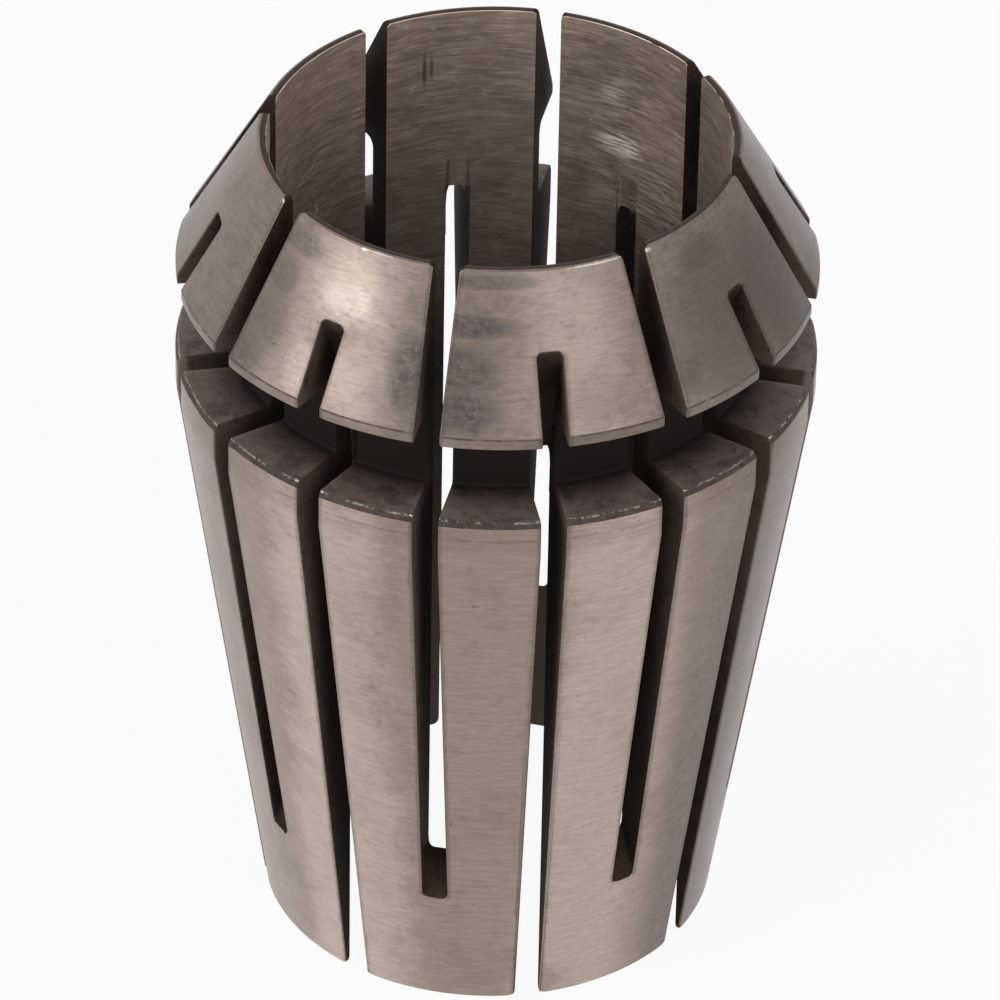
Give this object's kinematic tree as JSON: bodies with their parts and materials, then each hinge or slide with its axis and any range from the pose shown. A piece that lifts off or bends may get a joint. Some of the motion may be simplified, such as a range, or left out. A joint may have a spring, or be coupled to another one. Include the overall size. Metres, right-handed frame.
{
  "type": "spring collet",
  "caption": "Slit steel spring collet with a steep ground taper, extraction groove, cone nose and straight clamping bore.",
  "frame": {"origin": "centre of the tail face, on the axis of the bore", "axes": "+Z along the axis from the tail to the nose; a slit that opens at the nose lies on the -Y side"},
  "size_m": [0.026, 0.026, 0.0365],
  "materials": {
    "ground_steel": "ground, lightly used, dark in the slits and the groove"
  },
  "bodies": {
    "root": {"collet": "ground_steel"}
  },
  "joints": []
}
